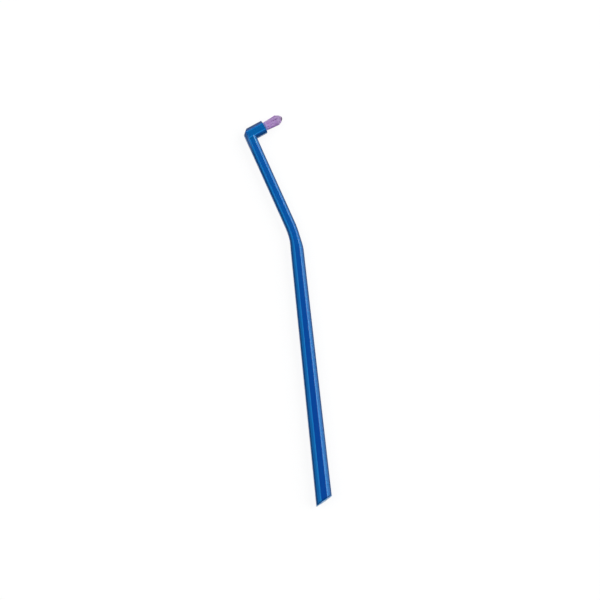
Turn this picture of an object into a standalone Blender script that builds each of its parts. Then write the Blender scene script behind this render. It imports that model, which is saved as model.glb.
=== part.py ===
"""Single tuft toothbrush on its side: an octagonal moulded handle, its tuft and its anchor strip.

Metres, +Z up. The grip runs along Y with its slanted butt at -Y, the neck leans towards -X,
and the tuft points back across the grip's line towards +X. The bend plane is level.
"""

import math

import bmesh
import bpy
from mathutils import Matrix, Vector

# Grip: an octagonal bar that widens from the bend to the butt
GRIP_LENGTH = 0.1010
GRIP_WIDTH_AT_BUTT = 0.0061
GRIP_WIDTH_AT_BEND = 0.0049
GRIP_CHAMFER_SHARE = 0.293
BUTT_SLANT = math.radians(29.0)

# Neck: the same bar, slimmer and of one width, leaning from the grip's line
BEND_ANGLE = math.radians(18.0)
BEND_RADIUS = 0.0360
BEND_TAPER_SHARE = 0.58
BEND_STEPS = 18
NECK_LENGTH = 0.0430
NECK_WIDTH = 0.0041
NECK_CHAMFER_SHARE = 0.265

# Head: a short octagonal block mitred to the neck, its outer corner cut off
HEAD_ANGLE = math.radians(85.0)
HEAD_LENGTH = 0.0063
HEAD_WIDTH = 0.0051
HEAD_FLARE_LENGTH = 0.0060
HEAD_FLARE_STEPS = 6
ELBOW_LAND = 0.0005
ELBOW_CHAMFER = 0.0017

# Rounding of the moulding, set back from its ridges, and less so from the rims of its two end faces
RIDGE_ROUNDING = 0.00026
RIM_ROUNDING = 0.00010
ROUNDING_SEGMENTS = 3
RIDGE_ANGLE = math.radians(28.0)

# Blind hole for the tuft, square to the head's face
HOLE_DIAMETER = 0.0035
HOLE_DEPTH = 0.0043
HOLE_COUNTERSINK = 0.00015
HOLE_SEGMENTS = 40

# Tuft: straight strands that rise from the packed fold, spread a little and end in a blunt cone
TUFT_LENGTH = 0.0077
TUFT_SHOULDER_LENGTH = 0.0056
TUFT_SHOULDER_DIAMETER = 0.0040
TUFT_TRIM_POWER = 1.9
TUFT_APEX_SHARE = 0.08
TUFT_CLEARANCE = 0.0001
FOLD_SINK = 0.0003

# Strands, laid out like the seeds of a sunflower
STRAND_COUNT = 360
STRAND_THICKNESS = 0.00013
STRAND_SIDES = 4
STRAND_ROUND_END = 0.00010
STRAND_END_SHARE = 0.45
STRAND_BED = 0.0001
GOLDEN_ANGLE = math.pi * (3.0 - math.sqrt(5.0))

# Anchor: a flat metal strip on edge, whose ends bite into the wall of the hole
ANCHOR_THICKNESS = 0.0003
ANCHOR_HEIGHT = 0.0014
ANCHOR_BITE = 0.0003
ANCHOR_CORNER = 0.0002
ANCHOR_CLEARANCE = 0.0001
FOLD_UNDER_ANCHOR = 0.0008

# Cutters run past what they cut by the overrun, and a turned profile's ends meet within the weld
OVERRUN = 0.0010
WELD = 0.000001

# Finish of each piece: colour, roughness, metallic
HANDLE_FINISH = ((0.004, 0.090, 0.360, 1.0), 0.12, 0.0)
TUFT_FINISH = ((0.360, 0.200, 0.500, 1.0), 0.45, 0.0)
ANCHOR_FINISH = ((0.720, 0.690, 0.560, 1.0), 0.30, 1.0)

UP = Vector((0.0, 0.0, 1.0))


def clear_scene():
    for obj in list(bpy.data.objects):
        bpy.data.objects.remove(obj, do_unlink=True)


def new_collection(name):
    collection = bpy.data.collections.new(name)
    bpy.context.scene.collection.children.link(collection)
    return collection


def new_material(name, finish):
    colour, roughness, metallic = finish
    material = bpy.data.materials.new(name)
    material.use_nodes = True
    shader = material.node_tree.nodes["Principled BSDF"]
    shader.inputs["Base Color"].default_value = colour
    shader.inputs["Roughness"].default_value = roughness
    shader.inputs["Metallic"].default_value = metallic
    material.diffuse_color = colour
    return material


def new_empty(name, collection, parent=None):
    empty = bpy.data.objects.new(name, None)
    empty.empty_display_size = HEAD_WIDTH
    collection.objects.link(empty)
    empty.parent = parent
    return empty


def object_from_bmesh(name, bm, collection, parent, material=None):
    mesh = bpy.data.meshes.new(name)
    bm.to_mesh(mesh)
    bm.free()
    obj = bpy.data.objects.new(name, mesh)
    collection.objects.link(obj)
    obj.parent = parent
    if material is not None:
        mesh.materials.append(material)
    return obj


def hide_cutter(obj):
    obj.hide_render = True
    obj.display_type = "WIRE"
    return obj


def add_boolean(obj, name, other, operation):
    modifier = obj.modifiers.new(name, "BOOLEAN")
    modifier.operation = operation
    modifier.solver = "EXACT"
    modifier.object = other


def mix(first, second, share):
    return first + (second - first) * share


def ease(share):
    """From 0 to 1 with a level start and end."""
    return share * share * (3.0 - 2.0 * share)


class Section:
    """One octagonal section of the handle: its middle, the way the bar runs there, and its size."""

    def __init__(self, centre, lean, width, depth, chamfer_share, slide=0.0):
        self.centre = centre
        self.along = Vector((-math.sin(lean), math.cos(lean), 0.0))
        self.across = Vector((math.cos(lean), math.sin(lean), 0.0))
        self.width = width
        self.depth = depth
        self.chamfer_share = chamfer_share
        self.slide = slide

    def corners(self):
        """Eight corners in order, each slid along the bar by a share of its place across, for a mitre."""
        side = self.width / 2
        top = self.depth / 2
        side_flat = side - self.width * self.chamfer_share
        top_flat = top - self.depth * self.chamfer_share
        places = [(side, top_flat), (side_flat, top), (-side_flat, top), (-side, top_flat)]
        places += [(-x, -z) for x, z in places]
        return [
            self.centre + self.across * x + self.along * (x * self.slide) + UP * z
            for x, z in places
        ]


def bend_tangent():
    """Distance from the bend's corner to either end of its arc."""
    return BEND_RADIUS * math.tan(BEND_ANGLE / 2)


def butt_reach():
    """How far past the middle of the butt the bar runs before it is cut on the slant."""
    return GRIP_WIDTH_AT_BUTT * math.tan(BUTT_SLANT) + OVERRUN


def grip_section():
    """The bar's far end, past the butt, on the straight taper that the bend and the butt give."""
    distance = GRIP_LENGTH + butt_reach()
    share = (distance - bend_tangent()) / (GRIP_LENGTH - bend_tangent())
    width = mix(GRIP_WIDTH_AT_BEND, GRIP_WIDTH_AT_BUTT, share)
    return Section(Vector((0.0, -distance, 0.0)), 0.0, width, width, GRIP_CHAMFER_SHARE)


def bend_sections():
    """The arc from grip to neck. The bar eases from one width to the other over its first part."""
    hub = Vector((-BEND_RADIUS, -bend_tangent(), 0.0))
    sections = []
    for step in range(BEND_STEPS + 1):
        lean = BEND_ANGLE * step / BEND_STEPS
        share = ease(min(step / BEND_STEPS / BEND_TAPER_SHARE, 1.0))
        width = mix(GRIP_WIDTH_AT_BEND, NECK_WIDTH, share)
        chamfer_share = mix(GRIP_CHAMFER_SHARE, NECK_CHAMFER_SHARE, share)
        outwards = Vector((math.cos(lean), math.sin(lean), 0.0))
        sections.append(Section(hub + outwards * BEND_RADIUS, lean, width, width, chamfer_share))
    return sections


def neck_point(distance):
    return Vector((-math.sin(BEND_ANGLE), math.cos(BEND_ANGLE), 0.0)) * distance


def mitre_slope():
    """How far the mitre runs along the neck per length across it. Unlike widths then meet edge to edge."""
    inside = math.pi - HEAD_ANGLE
    return (HEAD_WIDTH / NECK_WIDTH + math.cos(inside)) / math.sin(inside)


def flare_sections():
    """The neck's last stretch, deepening to the head's depth just short of the elbow's inner corner."""
    end = NECK_LENGTH - mitre_slope() * NECK_WIDTH / 2 - ELBOW_LAND
    sections = []
    for step in range(HEAD_FLARE_STEPS + 1):
        share = step / HEAD_FLARE_STEPS
        distance = end - HEAD_FLARE_LENGTH * (1.0 - share)
        depth = mix(NECK_WIDTH, HEAD_WIDTH, ease(share))
        sections.append(
            Section(neck_point(distance), BEND_ANGLE, NECK_WIDTH, depth, NECK_CHAMFER_SHARE)
        )
    return sections


def mitre_section():
    """The slanted section between neck and head."""
    elbow = neck_point(NECK_LENGTH)
    return Section(
        elbow, BEND_ANGLE, NECK_WIDTH, HEAD_WIDTH, NECK_CHAMFER_SHARE, slide=-mitre_slope()
    )


def head_section(distance):
    """The head's section at a distance from the elbow, square to the tuft."""
    lean = BEND_ANGLE - HEAD_ANGLE
    along = Vector((-math.sin(lean), math.cos(lean), 0.0))
    centre = neck_point(NECK_LENGTH) + along * distance
    return Section(centre, lean, HEAD_WIDTH, HEAD_WIDTH, NECK_CHAMFER_SHARE)


def loft(sections):
    """Skins a row of eight-cornered sections and caps both ends."""
    bm = bmesh.new()
    rings = [[bm.verts.new(corner) for corner in section.corners()] for section in sections]
    for near, far in zip(rings, rings[1:]):
        for i in range(len(near)):
            j = (i + 1) % len(near)
            bm.faces.new((near[i], near[j], far[j], far[i]))
    bm.faces.new(rings[0])
    bm.faces.new(rings[-1])
    bmesh.ops.recalc_face_normals(bm, faces=bm.faces)
    return bm


def cut_off(bm, point, outwards):
    """Takes off what lies beyond a plane and gives back the flat face left there."""
    everything = bm.verts[:] + bm.edges[:] + bm.faces[:]
    cut = bmesh.ops.bisect_plane(
        bm, geom=everything, plane_co=point, plane_no=outwards, clear_outer=True
    )
    rim = [piece for piece in cut["geom_cut"] if isinstance(piece, bmesh.types.BMEdge)]
    return bmesh.ops.contextual_create(bm, geom=rim)["faces"][0]


def cut_butt(bm):
    outwards = Vector((math.sin(BUTT_SLANT), -math.cos(BUTT_SLANT), 0.0))
    return cut_off(bm, Vector((0.0, -GRIP_LENGTH, 0.0)), outwards)


def cut_head_face(bm):
    face = head_section(HEAD_LENGTH)
    return cut_off(bm, face.centre, face.along)


def cut_elbow_corner(bm):
    """Takes off the mitre's outer corner, the same distance back along the neck and along the head."""
    mitre = mitre_section()
    head = head_section(HEAD_LENGTH)
    corner = mitre.centre - (mitre.across + mitre.along * mitre.slide) * (NECK_WIDTH / 2)
    on_neck = corner - mitre.along * ELBOW_CHAMFER
    on_head = corner + head.along * ELBOW_CHAMFER
    return cut_off(bm, on_neck, UP.cross(on_head - on_neck).normalized())


def weigh_edges(bm, end_faces):
    """Marks the ridges for the whole rounding and the rims of the end faces for their share of it."""
    weight = bm.edges.layers.float.new("bevel_weight_edge")
    for edge in bm.edges:
        if edge.calc_face_angle() > RIDGE_ANGLE:
            edge[weight] = 1.0
    for face in end_faces:
        for edge in face.edges:
            edge[weight] = RIM_ROUNDING / RIDGE_ROUNDING


def make_head_frame(collection, parent):
    """An empty on the head's face: +Z out of it along the tuft, +X square to the bend plane."""
    face = head_section(HEAD_LENGTH)
    axes = Matrix((UP, face.along.cross(UP), face.along)).transposed()
    frame = new_empty("head_frame", collection, parent)
    frame.location = face.centre
    frame.rotation_euler = axes.to_euler()
    return frame


def turned(name, profile, segments, collection, parent, material=None):
    """A solid of revolution about its own Z, from a profile that runs down its outer side."""
    bm = bmesh.new()
    points = [bm.verts.new((radius, 0.0, height)) for radius, height in profile]
    for upper, lower in zip(points, points[1:]):
        bm.edges.new((upper, lower))
    obj = object_from_bmesh(name, bm, collection, parent, material)
    screw = obj.modifiers.new("turned", "SCREW")
    screw.steps = segments
    screw.render_steps = segments
    screw.use_merge_vertices = True
    screw.merge_threshold = WELD
    return obj


def block(name, size, middle, collection, parent):
    bm = bmesh.new()
    bmesh.ops.create_cube(bm, size=1.0)
    bmesh.ops.scale(bm, verts=bm.verts, vec=size)
    bmesh.ops.translate(bm, verts=bm.verts, vec=middle)
    return object_from_bmesh(name, bm, collection, parent)


def hole_cutter(collection, parent):
    """The tuft's hole, with a flat bottom and a narrow countersink at its mouth."""
    radius = HOLE_DIAMETER / 2
    mouth = radius + HOLE_COUNTERSINK + OVERRUN
    profile = [
        (0.0, OVERRUN),
        (mouth, OVERRUN),
        (radius, -HOLE_COUNTERSINK),
        (radius, -HOLE_DEPTH),
        (0.0, -HOLE_DEPTH),
    ]
    return hide_cutter(turned("hole_cutter", profile, HOLE_SEGMENTS, collection, parent))


def fold_bottom():
    """Height of the lowest point of the folded tuft, measured from the head's face."""
    return -HOLE_DEPTH + TUFT_CLEARANCE


def anchor_top():
    return fold_bottom() + FOLD_UNDER_ANCHOR + ANCHOR_HEIGHT


def anchor_half_length():
    return HOLE_DIAMETER / 2 + ANCHOR_BITE


def anchor_room(name, bottom, top, collection, parent):
    """A slot round the anchor, with its clearance at both ends and on both sides."""
    length = 2 * (anchor_half_length() + ANCHOR_CLEARANCE)
    width = ANCHOR_THICKNESS + 2 * ANCHOR_CLEARANCE
    size = (length, width, top - bottom)
    middle = (0.0, 0.0, (bottom + top) / 2)
    return hide_cutter(block(name, size, middle, collection, parent))


def slit_cutter(collection, parent):
    """The two grooves that the anchor's ends score in the wall on their way down from the mouth."""
    bottom = anchor_top() - ANCHOR_HEIGHT - ANCHOR_CLEARANCE
    return anchor_room("slit_cutter", bottom, OVERRUN, collection, parent)


def tunnel_cutter(collection, parent):
    """The room that the anchor takes up inside the fold of the tuft."""
    bottom = anchor_top() - ANCHOR_HEIGHT - ANCHOR_CLEARANCE
    top = anchor_top() + ANCHOR_CLEARANCE
    return anchor_room("tunnel_cutter", bottom, top, collection, parent)


def make_handle(parts, cutters, root, head_frame, material):
    """The moulding: one octagon along grip, bend, neck and head, with its ends, hole and slits cut."""
    sections = [grip_section()]
    sections += bend_sections()
    sections += flare_sections()
    sections += [mitre_section(), head_section(HEAD_LENGTH + OVERRUN)]
    bm = loft(sections)
    cut_elbow_corner(bm)
    weigh_edges(bm, [cut_butt(bm), cut_head_face(bm)])
    handle = object_from_bmesh("handle", bm, parts, root, material)
    rounding = handle.modifiers.new("rounded ridges and rims", "BEVEL")
    rounding.width = RIDGE_ROUNDING
    rounding.segments = ROUNDING_SEGMENTS
    rounding.limit_method = "WEIGHT"
    add_boolean(handle, "tuft hole", hole_cutter(cutters, head_frame), "DIFFERENCE")
    add_boolean(handle, "anchor slits", slit_cutter(cutters, head_frame), "DIFFERENCE")
    return handle


def strand_places():
    """Where each strand stands in the bundle, as shares of the bundle's radius."""
    places = []
    for i in range(STRAND_COUNT):
        reach_share = math.sqrt((i + 0.5) / STRAND_COUNT)
        angle = i * GOLDEN_ANGLE
        places.append(Vector((math.cos(angle), math.sin(angle))) * reach_share)
    return places


def trim_height(place):
    """Height above the face where a strand is cut: the tip near the middle, the shoulder at the rim."""
    rim_share = place.length_squared
    apex = Vector((0.0, TUFT_APEX_SHARE)) * (1.0 - rim_share)
    share = min((place - apex).length, 1.0)
    return mix(TUFT_LENGTH, TUFT_SHOULDER_LENGTH, share**TUFT_TRIM_POWER)


def add_strand(bm, place):
    """One straight strand, from its bed in the fold to a narrowed end."""
    outwards = place.to_3d()
    root_reach = HOLE_DIAMETER / 2 - TUFT_CLEARANCE - STRAND_THICKNESS / 2
    tip_reach = TUFT_SHOULDER_DIAMETER / 2 - STRAND_THICKNESS / 2
    foot = outwards * root_reach - UP * (FOLD_SINK + STRAND_BED)
    tip = outwards * tip_reach + UP * trim_height(place)
    along = (tip - foot).normalized()
    shaft = (tip - foot).length - STRAND_ROUND_END
    radius = STRAND_THICKNESS / 2
    made = bmesh.ops.create_cone(
        bm,
        cap_ends=True,
        segments=STRAND_SIDES,
        radius1=radius,
        radius2=radius,
        depth=shaft,
        matrix=Matrix.Translation(foot + along * (shaft / 2))
        @ along.to_track_quat("Z", "Y").to_matrix().to_4x4(),
    )
    faces = {face for vert in made["verts"] for face in vert.link_faces}
    top = max(faces, key=lambda face: face.calc_center_median().dot(along))
    end = bmesh.ops.extrude_discrete_faces(bm, faces=[top])["faces"][0]
    middle = end.calc_center_median()
    for vert in end.verts:
        vert.co = middle + (vert.co - middle) * STRAND_END_SHARE + along * STRAND_ROUND_END


def make_strands(collection, parent):
    bm = bmesh.new()
    for place in strand_places():
        add_strand(bm, place)
    return hide_cutter(object_from_bmesh("strands", bm, collection, parent))


def make_tuft(parts, cutters, head_frame, material):
    """The packed fold in the hole, tunnelled for the anchor, with the strands grown from its top."""
    radius = HOLE_DIAMETER / 2 - TUFT_CLEARANCE
    profile = [
        (0.0, -FOLD_SINK),
        (radius, -FOLD_SINK),
        (radius, fold_bottom()),
        (0.0, fold_bottom()),
    ]
    tuft = turned("tuft", profile, HOLE_SEGMENTS, parts, head_frame, material)
    add_boolean(tuft, "anchor tunnel", tunnel_cutter(cutters, head_frame), "DIFFERENCE")
    add_boolean(tuft, "strands", make_strands(cutters, head_frame), "UNION")
    return tuft


def make_anchor(parts, head_frame, material):
    """A flat outline with its two leading corners cut, as thick as the strip."""
    half = anchor_half_length()
    outline = [
        (-half, 0.0),
        (-half, ANCHOR_CORNER - ANCHOR_HEIGHT),
        (ANCHOR_CORNER - half, -ANCHOR_HEIGHT),
        (half - ANCHOR_CORNER, -ANCHOR_HEIGHT),
        (half, ANCHOR_CORNER - ANCHOR_HEIGHT),
        (half, 0.0),
    ]
    curve = bpy.data.curves.new("anchor_strip", "CURVE")
    curve.dimensions = "2D"
    curve.fill_mode = "BOTH"
    curve.extrude = ANCHOR_THICKNESS / 2
    spline = curve.splines.new("POLY")
    spline.points.add(len(outline) - 1)
    for point, (x, y) in zip(spline.points, outline):
        point.co = (x, y, 0.0, 1.0)
    spline.use_cyclic_u = True
    curve.materials.append(material)
    anchor = bpy.data.objects.new("anchor_strip", curve)
    parts.objects.link(anchor)
    anchor.parent = head_frame
    anchor.location = (0.0, 0.0, anchor_top())
    anchor.rotation_euler = (math.pi / 2, 0.0, 0.0)
    return anchor


def shade(obj):
    if obj.type == "MESH":
        obj.data.shade_smooth()
        obj.data.set_sharp_from_angle(angle=RIDGE_ANGLE)


def world_corners(objects):
    """Lowest and highest corner of the finished pieces."""
    bpy.context.view_layer.update()
    graph = bpy.context.evaluated_depsgraph_get()
    low = Vector((math.inf,) * 3)
    high = Vector((-math.inf,) * 3)
    for obj in objects:
        evaluated = obj.evaluated_get(graph)
        mesh = evaluated.to_mesh()
        for vert in mesh.vertices:
            place = evaluated.matrix_world @ vert.co
            low = Vector(map(min, low, place))
            high = Vector(map(max, high, place))
        evaluated.to_mesh_clear()
    return low, high


def main():
    clear_scene()
    parts = new_collection("single_tuft_toothbrush")
    cutters = new_collection("cutters")
    root = new_empty("brush_root", parts)
    head_frame = make_head_frame(parts, root)
    blue_plastic = new_material("blue_plastic", HANDLE_FINISH)
    lilac_filament = new_material("lilac_filament", TUFT_FINISH)
    anchor_metal = new_material("anchor_metal", ANCHOR_FINISH)
    pieces = [
        make_handle(parts, cutters, root, head_frame, blue_plastic),
        make_tuft(parts, cutters, head_frame, lilac_filament),
        make_anchor(parts, head_frame, anchor_metal),
    ]
    for piece in pieces:
        shade(piece)
    low, high = world_corners(pieces)
    middle = (low + high) / 2
    root.location = (-middle.x, -middle.y, -low.z)
    bpy.context.view_layer.update()


main()
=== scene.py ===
import math
import random

import bmesh
import bpy
from bpy.props import FloatProperty, FloatVectorProperty, IntProperty, PointerProperty
from mathutils import Matrix, Vector, noise


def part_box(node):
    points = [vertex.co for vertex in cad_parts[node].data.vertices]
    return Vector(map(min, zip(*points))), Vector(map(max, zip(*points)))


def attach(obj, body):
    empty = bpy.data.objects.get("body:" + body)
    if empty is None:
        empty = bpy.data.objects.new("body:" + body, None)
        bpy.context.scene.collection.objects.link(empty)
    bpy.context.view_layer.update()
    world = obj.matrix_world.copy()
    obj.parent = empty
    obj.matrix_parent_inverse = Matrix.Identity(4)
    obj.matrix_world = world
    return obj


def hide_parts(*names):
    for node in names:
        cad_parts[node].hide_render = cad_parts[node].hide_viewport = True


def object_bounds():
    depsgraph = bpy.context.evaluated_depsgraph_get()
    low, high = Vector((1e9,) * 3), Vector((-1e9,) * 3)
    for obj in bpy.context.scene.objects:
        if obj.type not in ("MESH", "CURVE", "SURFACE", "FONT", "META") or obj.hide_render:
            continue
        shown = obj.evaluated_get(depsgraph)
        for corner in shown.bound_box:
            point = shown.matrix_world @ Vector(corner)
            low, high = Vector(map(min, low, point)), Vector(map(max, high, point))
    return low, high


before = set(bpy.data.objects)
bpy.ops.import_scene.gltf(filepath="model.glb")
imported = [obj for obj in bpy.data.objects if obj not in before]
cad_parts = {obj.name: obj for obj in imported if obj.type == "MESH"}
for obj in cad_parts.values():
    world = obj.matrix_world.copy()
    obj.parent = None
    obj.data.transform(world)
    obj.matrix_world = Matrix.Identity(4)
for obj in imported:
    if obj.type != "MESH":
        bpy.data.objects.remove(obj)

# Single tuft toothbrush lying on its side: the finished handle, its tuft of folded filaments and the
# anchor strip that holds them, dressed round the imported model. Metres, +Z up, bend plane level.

bl_info = {
    "name": "Single Tuft Toothbrush",
    "version": (1, 0, 0),
    "blender": (4, 5, 0),
    "location": "View3D > Sidebar > Brush",
    "description": "Builds a single tuft toothbrush with an octagonal handle, and a plain stage",
    "category": "Add Mesh",
}

CAD_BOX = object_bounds()
MIDDLE_HEIGHT = (CAD_BOX[0].z + CAD_BOX[1].z) / 2
BODY = "root"
FACET_MAP = "facet"
UP = Vector((0.0, 0.0, 1.0))

# The image is square. The bend's corner falls on this pixel of it, counted from the top left
IMAGE_PIXELS = 600
BEND_PIXEL = (295.8, 237.5)

# Steps of curves and roundings
BEND_STEPS = 48
FLARE_STEPS = 18
ROUNDING_SEGMENTS = 6
HOLE_SEGMENTS = 72
RIDGE_ANGLE = math.radians(28.0)
FLAT_WEIGHT = 80
WELD = 0.000001
OVERRUN = 0.0010

# The two sides of the elbow
INNER = 1
OUTER = -1

# Rings along a filament: round the fold, from the anchor's top to the face, and from there to the tip
FOLD_RINGS = 5
HIDDEN_RINGS = 4
SHOWN_RINGS = 4
FILAMENT_SIDES = 6
GOLDEN_ANGLE = math.pi * (3.0 - math.sqrt(5.0))
SEED = 11

# Last rings of a filament's rounded cut end: how far ahead and how wide, as shares of its radius
CUT_END_SHARES = ((0.7, 0.75), (1.0, 0.35))

# How dark a filament is, by its place in the bundle as shares of the radius: random streaks, and painted
# shade on one flank and at the edges. Streaks have a scale across the bundle, their own layer of the
# noise, and a weight
MIDDLE_TONE = 0.38
BROAD_STREAKS = (1.4, 3.7, 0.50)
FINE_STREAKS = (5.0, 9.1, 0.40)
FLANK_SHADE_TONE = 0.22
EDGE_START = 0.75
EDGE_SHADE_TONE = 0.45
EDGE_EXTRA_SHADE_TONE = 0.35
TONE_JITTER = 0.18

# The short dark streak of painted shade on the upper face: its middle and width across the bundle, the
# lowest place that has it, how dark it is, and the shares of the shoulder's height over which it sets in
STREAK_MIDDLE = -0.14
STREAK_WIDTH = 0.09
STREAK_LOWEST = 0.4
STREAK_TONE = 1.2
STREAK_START = 0.5
STREAK_FULL = 0.75

# Stage: the ways to the lights, the camera's range, the floor's mesh and its gap under the brush, the
# dullest share of its white, and the heights over which the surroundings dim above the horizon
RIGHT_LIGHT_WAY = Vector((1.0, 0.15, 0.80))
LEFT_LIGHT_WAY = Vector((-1.0, 0.1, 1.1))
VIEW_START = 0.01
VIEW_END = 50.0
FLOOR_CELLS = 8
FLOOR_GAP = 0.00002
FLOOR_DULL_SHARE = 0.98
HORIZON_HEIGHTS = (0.02, 0.30)


def length(name, description, default):
    return FloatProperty(
        name=name, description=description, default=default, min=0.0, precision=5, unit="LENGTH"
    )


def angle(name, description, degrees):
    return FloatProperty(
        name=name, description=description, default=math.radians(degrees), unit="ROTATION"
    )


def share(name, description, default):
    return FloatProperty(
        name=name, description=description, default=default, min=0.0, max=1.0, subtype="FACTOR"
    )


def colour(name, description, default):
    return FloatVectorProperty(
        name=name, description=description, default=default, size=3, min=0.0, max=1.0, subtype="COLOR"
    )


class HandleSettings(bpy.types.PropertyGroup):
    """Sizes and colours of the moulded handle."""

    grip_length: length("Grip length", "From the bend's corner to the middle of the butt", 0.1010)
    butt_width: length("Butt width", "Across flats at the butt", 0.0061)
    bend_width: length("Bend width", "Across flats where the grip meets the bend", 0.0049)
    grip_chamfer: share("Grip chamfer", "Corner cut as a share of the grip's width", 0.293)
    butt_slant: angle("Butt slant", "Slant of the butt's end face", 29.0)
    bend_angle: angle("Bend angle", "Lean of the neck from the grip's line", 18.0)
    bend_radius: length("Bend radius", "Radius of the bend along the bar's middle", 0.0360)
    bend_taper: share("Bend taper", "Share of the bend over which the bar slims to the neck", 0.58)
    neck_length: length("Neck length", "From the bend's corner to the elbow", 0.0430)
    neck_width: length("Neck width", "Across flats along the neck", 0.0041)
    neck_chamfer: share("Neck chamfer", "Corner cut as a share of the neck's width", 0.265)
    head_angle: angle("Head angle", "Turn from the neck to the head", 85.0)
    head_length: length("Head length", "From the elbow to the head's face", 0.0063)
    head_width: length("Head width", "Across flats at the head", 0.0051)
    flare_length: length("Flare length", "Stretch over which the neck deepens to the head", 0.0060)
    elbow_land: length("Elbow land", "Straight stretch between the flare and the elbow", 0.0005)
    elbow_chamfer: length("Elbow chamfer", "Outer corner cut off the elbow", 0.0017)
    ridge_rounding: length("Ridge rounding", "Set-back of the rounding along the ridges", 0.00026)
    rim_rounding: length("Rim rounding", "Set-back of the rounding round the end faces", 0.00010)
    # The five blues that follow are lit and shaded copies of one blue: painted shade on the grip's level
    # and upright facets, painted light on the neck, on the head and on the slanted facets
    shaded_flat_colour: colour("Deep colour", "Blue of the level and upright facets", (0.0010, 0.060, 0.320))
    slim_lit_colour: colour("Slim colour", "Blue of the same facets on the neck", (0.0010, 0.092, 0.370))
    head_lit_colour: colour("Head colour", "Blue of the level facets of the head", (0.0008, 0.118, 0.385))
    lit_colour: colour("Lit colour", "Blue of a slanted facet's inner half", (0.0060, 0.208, 0.590))
    outer_lit_colour: colour("Side colour", "Blue of a slanted facet's outer half", (0.0010, 0.134, 0.430))
    # Painted shade: the dark line along outer ridges and cut ends, the outside of the head's slanted
    # facets, and the shade beside the ridge line over the neck
    painted_shade_colour: colour("Rim colour", "Dark line by outer ridges and cut ends", (0.0002, 0.044, 0.150))
    # Painted highlight in the outermost ridges
    edge_highlight_colour: colour("Edge colour", "Light in the outermost ridges", (0.0040, 0.190, 0.540))
    glint_colour: colour("Glint colour", "Light at the elbow's inner corner", (0.1200, 0.400, 0.720))
    # Painted reflection that makes the cut end faces paler
    end_reflection_colour: colour("End colour", "Paler blue of the cut end faces", (0.0450, 0.265, 0.580))
    glow: share("Translucency", "How far light bleeds through the plastic", 0.20)
    roughness: share("Roughness", "Roughness of the polished moulding", 0.12)


class TuftSettings(bpy.types.PropertyGroup):
    """Sizes and colours of the tuft, its hole and its anchor."""

    hole_diameter: length("Hole diameter", "Width of the blind hole in the head", 0.0035)
    hole_depth: length("Hole depth", "Depth of the blind hole", 0.0043)
    countersink: length("Countersink", "Width of the countersink at the hole's mouth", 0.00015)
    clearance: length("Clearance", "Gap round the packed fold and round the anchor", 0.0001)
    anchor_thickness: length("Anchor thickness", "Thickness of the anchor strip", 0.0003)
    anchor_height: length("Anchor height", "Height of the anchor strip along the hole", 0.0014)
    anchor_bite: length("Anchor bite", "How far each end of the strip bites into the wall", 0.0003)
    fold_under: length("Fold", "Thickness of the fold under the anchor", 0.0008)
    filaments: IntProperty(
        name="Filaments", description="Folded filaments, each with two free ends", default=300, min=20
    )
    thickness: length("Filament thickness", "Diameter of one filament", 0.00012)
    tip_height: length("Tip height", "Height of the tuft's tip above the face", 0.0077)
    shoulder_height: length("Shoulder height", "Height at which the outer filaments end", 0.0056)
    shoulder_width: length("Shoulder width", "Width of the tuft at its shoulders", 0.0040)
    trim_power: FloatProperty(
        name="Trim roundness", description="Bluntness of the trimmed cone", default=1.9, min=0.5, max=4.0
    )
    apex: share("Apex offset", "How far the tip lies off the middle", 0.0)
    stray: length("Stray", "How far a filament's end wanders from its place", 0.000035)
    body_colour: colour("Body colour", "Lilac of the filaments", (0.600, 0.425, 0.735))
    # Random streaks, and painted shade on one flank and at the bundle's edges
    shade_colour: colour("Shade colour", "Darker purple that streaks the bundle", (0.440, 0.240, 0.590))
    # Painted reflection of the handle's blue on the filaments just above the face
    root_reflection_colour: colour("Base colour", "Bluer lilac just above the head's face", (0.400, 0.400, 0.760))
    cut_colour: colour("Cut colour", "Greyer lilac of the cut ends", (0.500, 0.375, 0.615))
    # Painted shade at the tip, in the short streak and at the bundle's edges
    tip_shade_colour: colour("Tip colour", "Dark mauve at the tip and in a streak", (0.130, 0.090, 0.160))
    roughness: share("Roughness", "Roughness of the drawn filament", 0.38)


class AnchorSettings(bpy.types.PropertyGroup):
    """Finish of the anchor strip."""

    metal_colour: colour("Metal colour", "Rolled face of the strip", (0.720, 0.660, 0.480))
    sheared_colour: colour("Sheared colour", "Streaks along the sheared edges", (0.420, 0.360, 0.240))
    roughness: share("Roughness", "Roughness of the rolled strip", 0.32)


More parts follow.
